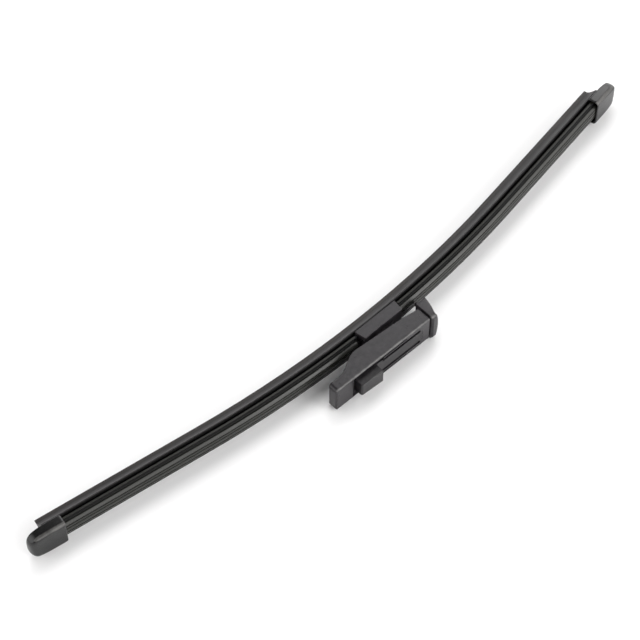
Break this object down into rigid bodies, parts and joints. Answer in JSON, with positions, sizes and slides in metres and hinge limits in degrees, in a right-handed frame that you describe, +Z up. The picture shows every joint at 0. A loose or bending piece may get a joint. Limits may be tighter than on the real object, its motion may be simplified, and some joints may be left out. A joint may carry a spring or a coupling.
{
  "type": "rear wiper blade",
  "caption": "Curved flat rear wiper blade with spring rails in the rubber, end caps and a hinged quick-release arm adapter.",
  "frame": {"origin": "under the middle of the whole object, on the surface that it lies on", "axes": "+X along the blade towards the end past the nose of the adapter, +Y towards the side of the wiping lip, +Z up through the width of the blade, which lies on its side"},
  "size_m": [0.2854, 0.0392, 0.013],
  "materials": {
    "rubber": "fine matt black rubber with a faint sheen along its edges",
    "rail_steel": "dark coated spring steel",
    "strip_plastic": "satin extruded black plastic",
    "cap_plastic": "smooth satin black plastic",
    "adapter_plastic": "satin black glass-filled plastic with a fine grain",
    "pin_steel": "plain turned steel"
  },
  "bodies": {
    "blade": {"wiping_rubber": "rubber", "upper_spring_rail": "rail_steel", "lower_spring_rail": "rail_steel", "left_back_strip": "strip_plastic", "right_back_strip": "strip_plastic", "left_end_cap": "cap_plastic", "right_end_cap": "cap_plastic", "connector_base": "adapter_plastic", "pivot_pin": "pin_steel"},
    "adapter": {"arm_adapter": "adapter_plastic"},
    "tongue": {"release_tongue": "adapter_plastic"}
  },
  "joints": [
    {"name": "adapter_pivot", "type": "hinge", "parent": "blade", "child": "adapter", "pos_m": [0.0015, -0.01165, 0.0065], "axis": [0, 0, 1], "range_deg": [-7.5, 0.6]},
    {"name": "button_press", "type": "hinge", "parent": "adapter", "child": "tongue", "pos_m": [0.01083, -0.01602, 0.0065], "axis": [0, 0, 1], "range_deg": [-3.4, 0], "stiffness_Nm_per_rad": 3}
  ]
}
